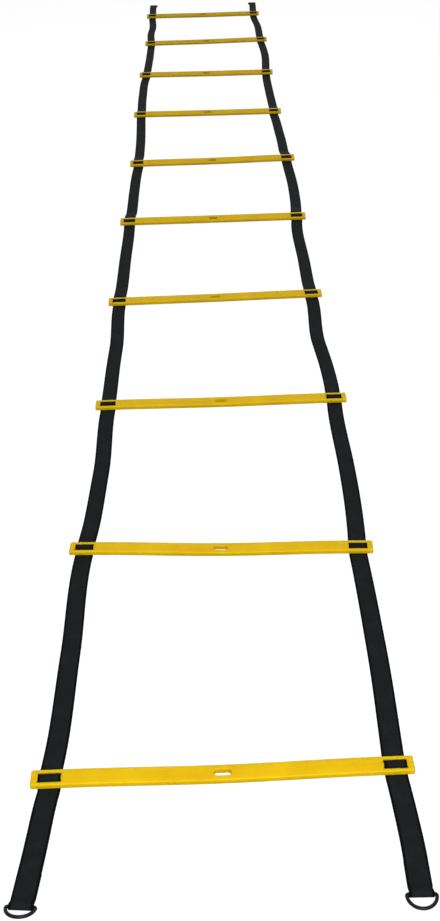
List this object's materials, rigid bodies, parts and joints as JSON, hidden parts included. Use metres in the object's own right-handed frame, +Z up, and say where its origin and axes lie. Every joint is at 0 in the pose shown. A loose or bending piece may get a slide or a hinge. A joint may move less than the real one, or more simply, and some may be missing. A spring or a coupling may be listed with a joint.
{
  "type": "agility ladder",
  "caption": "Flat agility ladder for footwork drills: yellow moulded rungs woven at their ends on to black webbing straps, with D-rings at the near end.",
  "frame": {"origin": "under the middle of the whole part, on the floor that it lies on", "axes": "+Y along the ladder from the D-rings to the far end, +X to the right, +Z up"},
  "size_m": [0.4802, 4.5564, 0.016],
  "materials": {
    "rung_plastic": "yellow injection-moulded plastic, satin",
    "strap_webbing": "black woven polypropylene webbing",
    "ring_metal": "dark enamelled steel wire"
  },
  "bodies": {
    "panel_01": {"strap_left_01": "strap_webbing", "strap_right_01": "strap_webbing"},
    "panel_02": {"strap_left_02": "strap_webbing", "strap_right_02": "strap_webbing"},
    "panel_03": {"strap_left_03": "strap_webbing", "strap_right_03": "strap_webbing"},
    "panel_04": {"strap_left_04": "strap_webbing", "strap_right_04": "strap_webbing"},
    "panel_05": {"strap_left_05": "strap_webbing", "strap_right_05": "strap_webbing"},
    "panel_06": {"strap_left_06": "strap_webbing", "strap_right_06": "strap_webbing"},
    "panel_07": {"strap_left_07": "strap_webbing", "strap_right_07": "strap_webbing"},
    "panel_08": {"strap_left_08": "strap_webbing", "strap_right_08": "strap_webbing"},
    "panel_09": {"strap_left_09": "strap_webbing", "strap_right_09": "strap_webbing"},
    "panel_10": {"strap_left_10": "strap_webbing", "strap_right_10": "strap_webbing"},
    "rung_01": {"rung_01": "rung_plastic"},
    "rung_02": {"rung_02": "rung_plastic"},
    "rung_03": {"rung_03": "rung_plastic"},
    "rung_04": {"rung_04": "rung_plastic"},
    "rung_05": {"rung_05": "rung_plastic"},
    "rung_06": {"rung_06": "rung_plastic"},
    "rung_07": {"rung_07": "rung_plastic"},
    "rung_08": {"rung_08": "rung_plastic"},
    "rung_09": {"rung_09": "rung_plastic"},
    "rung_10": {"rung_10": "rung_plastic"},
    "ring_left": {"ring_left": "ring_metal"},
    "ring_right": {"ring_right": "ring_metal"}
  },
  "joints": [
    {"name": "fold_01", "type": "hinge", "parent": "panel_01", "child": "panel_02", "pos_m": [0.00517, -1.85529, 0.0014], "axis": [1, 0, 0], "range_deg": [0, 170]},
    {"name": "fold_02", "type": "hinge", "parent": "panel_02", "child": "panel_03", "pos_m": [0.00517, -1.40541, 0], "axis": [-1, 0, 0], "range_deg": [0, 170]},
    {"name": "fold_03", "type": "hinge", "parent": "panel_03", "child": "panel_04", "pos_m": [0.00517, -0.95369, 0.0014], "axis": [1, 0, 0], "range_deg": [0, 170]},
    {"name": "fold_04", "type": "hinge", "parent": "panel_04", "child": "panel_05", "pos_m": [0.00517, -0.49691, 0], "axis": [-1, 0, 0], "range_deg": [0, 170]},
    {"name": "fold_05", "type": "hinge", "parent": "panel_05", "child": "panel_06", "pos_m": [0.00517, -0.04335, 0.0014], "axis": [1, 0, 0], "range_deg": [0, 170]},
    {"name": "fold_06", "type": "hinge", "parent": "panel_06", "child": "panel_07", "pos_m": [0.00517, 0.41113, 0], "axis": [-1, 0, 0], "range_deg": [0, 170]},
    {"name": "fold_07", "type": "hinge", "parent": "panel_07", "child": "panel_08", "pos_m": [0.00517, 0.87642, 0.0014], "axis": [1, 0, 0], "range_deg": [0, 170]},
    {"name": "fold_08", "type": "hinge", "parent": "panel_08", "child": "panel_09", "pos_m": [0.00517, 1.34286, 0], "axis": [-1, 0, 0], "range_deg": [0, 170]},
    {"name": "fold_09", "type": "hinge", "parent": "panel_09", "child": "panel_10", "pos_m": [0.00517, 1.80378, 0.0014], "axis": [1, 0, 0], "range_deg": [0, 170]},
    {"name": "rung_slide_01", "type": "slide", "parent": "panel_01", "child": "rung_01", "axis": [0, 1, 0], "range_m": [-0.075, 0.075], "deforming": ["strap_left_01", "strap_right_01"]},
    {"name": "rung_slide_02", "type": "slide", "parent": "panel_02", "child": "rung_02", "axis": [0, 1, 0], "range_m": [-0.075, 0.075], "deforming": ["strap_left_02", "strap_right_02"]},
    {"name": "rung_slide_03", "type": "slide", "parent": "panel_03", "child": "rung_03", "axis": [0, 1, 0], "range_m": [-0.075, 0.075], "deforming": ["strap_left_03", "strap_right_03"]},
    {"name": "rung_slide_04", "type": "slide", "parent": "panel_04", "child": "rung_04", "axis": [0, 1, 0], "range_m": [-0.075, 0.075], "deforming": ["strap_left_04", "strap_right_04"]},
    {"name": "rung_slide_05", "type": "slide", "parent": "panel_05", "child": "rung_05", "axis": [0, 1, 0], "range_m": [-0.075, 0.075], "deforming": ["strap_left_05", "strap_right_05"]},
    {"name": "rung_slide_06", "type": "slide", "parent": "panel_06", "child": "rung_06", "axis": [0, 1, 0], "range_m": [-0.075, 0.075], "deforming": ["strap_left_06", "strap_right_06"]},
    {"name": "rung_slide_07", "type": "slide", "parent": "panel_07", "child": "rung_07", "axis": [0, 1, 0], "range_m": [-0.075, 0.075], "deforming": ["strap_left_07", "strap_right_07"]},
    {"name": "rung_slide_08", "type": "slide", "parent": "panel_08", "child": "rung_08", "axis": [0, 1, 0], "range_m": [-0.075, 0.075], "deforming": ["strap_left_08", "strap_right_08"]},
    {"name": "rung_slide_09", "type": "slide", "parent": "panel_09", "child": "rung_09", "axis": [0, 1, 0], "range_m": [-0.075, 0.075], "deforming": ["strap_left_09", "strap_right_09"]},
    {"name": "rung_slide_10", "type": "slide", "parent": "panel_10", "child": "rung_10", "axis": [0, 1, 0], "range_m": [-0.075, 0.075], "deforming": ["strap_left_10", "strap_right_10"]},
    {"name": "ring_swing_left", "type": "hinge", "parent": "panel_01", "child": "ring_left", "pos_m": [-0.20943, -2.25967, 0.0037], "axis": [-0.9969, 0.0785, 0], "range_deg": [-162, 143]},
    {"name": "ring_swing_right", "type": "hinge", "parent": "panel_01", "child": "ring_right", "pos_m": [0.21167, -2.25742, 0.0037], "axis": [-0.9999, 0.0122, 0], "range_deg": [-141, 164]}
  ],
  "couplings": [
    {"joint": "fold_02", "follows": "fold_01", "ratio": 1},
    {"joint": "fold_03", "follows": "fold_01", "ratio": 1},
    {"joint": "fold_04", "follows": "fold_01", "ratio": 1},
    {"joint": "fold_05", "follows": "fold_01", "ratio": 1},
    {"joint": "fold_06", "follows": "fold_01", "ratio": 1},
    {"joint": "fold_07", "follows": "fold_01", "ratio": 1},
    {"joint": "fold_08", "follows": "fold_01", "ratio": 1},
    {"joint": "fold_09", "follows": "fold_01", "ratio": 1}
  ]
}
